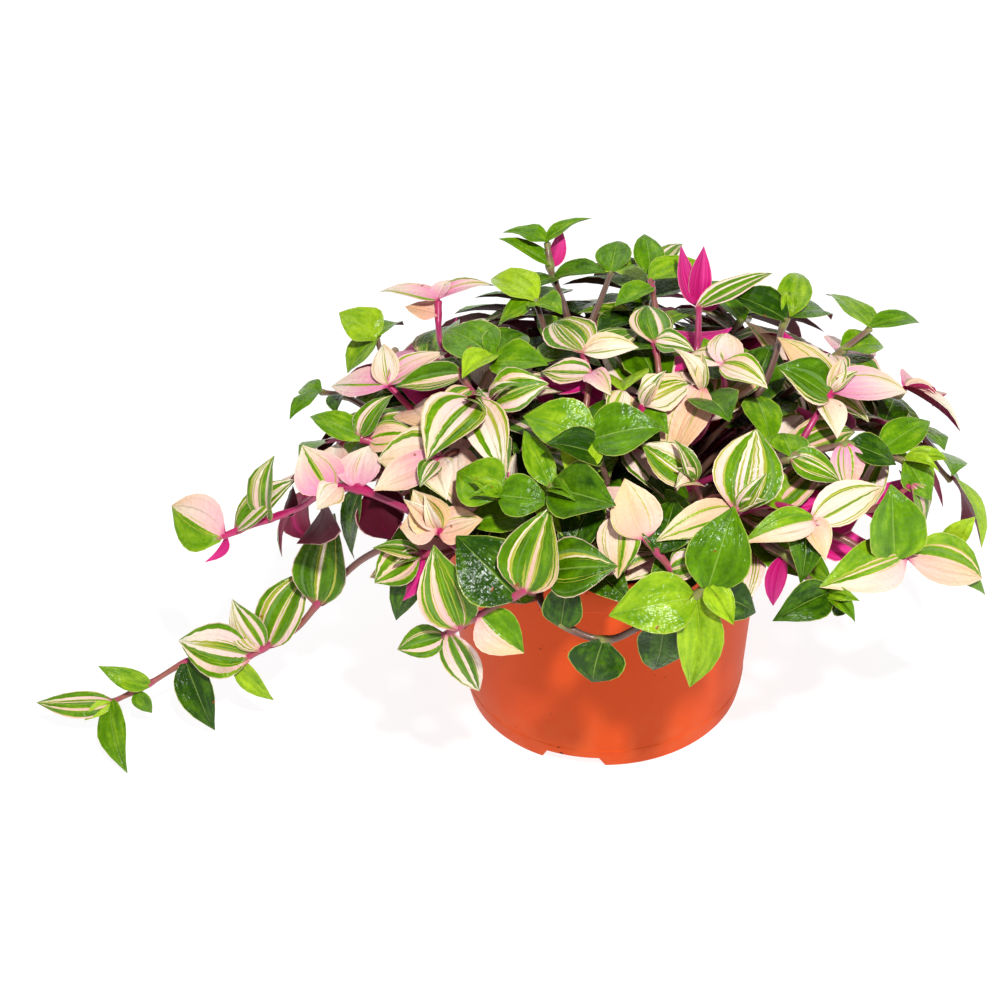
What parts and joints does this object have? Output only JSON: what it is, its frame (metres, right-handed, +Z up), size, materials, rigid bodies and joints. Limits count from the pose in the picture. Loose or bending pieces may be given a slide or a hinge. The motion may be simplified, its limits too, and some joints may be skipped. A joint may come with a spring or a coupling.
{
  "type": "potted tradescantia",
  "caption": "Round nursery pot of soil with a dense mound of trailing leafy stems, their oval leaves green, pink and cream striped, and a long trail to one side.",
  "frame": {"origin": "middle of the pot's foot, on the surface that it stands on", "axes": "+Z up along the pot's axis, -Y towards the viewer of the picture, +X to the viewer's right; the long trail reaches out along -X"},
  "size_m": [0.3671, 0.2184, 0.1741],
  "materials": {
    "pot": "satin moulded plastic",
    "soil": "damp crumbly potting mix",
    "green_foliage": "glossy fleshy leaf",
    "striped_foliage": "glossy fleshy leaf, striped green and cream",
    "pink_foliage": "glossy fleshy leaf, pink and cream"
  },
  "bodies": {
    "root": {"pot": "pot", "soil": "soil", "spray_trail_left": "striped_foliage", "spray_left_pink": "pink_foliage", "spray_left_cream": "striped_foliage", "spray_left_peach": "pink_foliage", "spray_left_low": "striped_foliage", "spray_mid_left_hang": "striped_foliage", "spray_front_left": "striped_foliage", "spray_front_green": "green_foliage", "spray_right_low": "green_foliage", "spray_mid_right_pair": "striped_foliage", "spray_right_pink": "pink_foliage", "spray_right_stem": "green_foliage", "spray_far_right": "striped_foliage", "spray_far_right_droop": "striped_foliage", "spray_right_back_green": "green_foliage", "spray_right_star": "pink_foliage", "spray_right_top_green": "green_foliage", "spray_top_lime": "green_foliage", "spray_top_striped": "striped_foliage", "spray_top_magenta": "pink_foliage", "spray_top_shoot": "green_foliage", "spray_top_left_green": "green_foliage", "spray_left_mid_green": "green_foliage", "spray_mid_striped": "striped_foliage", "spray_left_pink_top": "pink_foliage", "spray_left_star": "pink_foliage", "spray_left_striped_up": "striped_foliage", "spray_far_left_dark": "green_foliage", "spray_left_top_green": "green_foliage", "spray_mid_green": "green_foliage", "spray_mid_glossy": "green_foliage", "spray_mid_dark": "green_foliage", "spray_top_white": "striped_foliage", "spray_mid_curl": "striped_foliage", "spray_mid_lime": "green_foliage", "spray_mid_pink": "pink_foliage", "spray_mid_cream_hang": "pink_foliage", "spray_mid_cream_low": "striped_foliage", "spray_top_cream_star": "pink_foliage", "spray_top_mid_green": "striped_foliage", "spray_mid_bare_stem": "striped_foliage", "spray_back_1": "green_foliage", "spray_back_2": "striped_foliage", "spray_back_3": "pink_foliage", "spray_back_4": "green_foliage", "spray_back_5": "striped_foliage", "spray_back_6": "pink_foliage", "spray_back_7": "green_foliage", "spray_back_8": "striped_foliage", "spray_back_9": "pink_foliage", "spray_back_10": "green_foliage", "spray_back_11": "striped_foliage", "spray_back_12": "green_foliage", "spray_back_13": "pink_foliage", "spray_back_14": "green_foliage"}
  },
  "joints": []
}
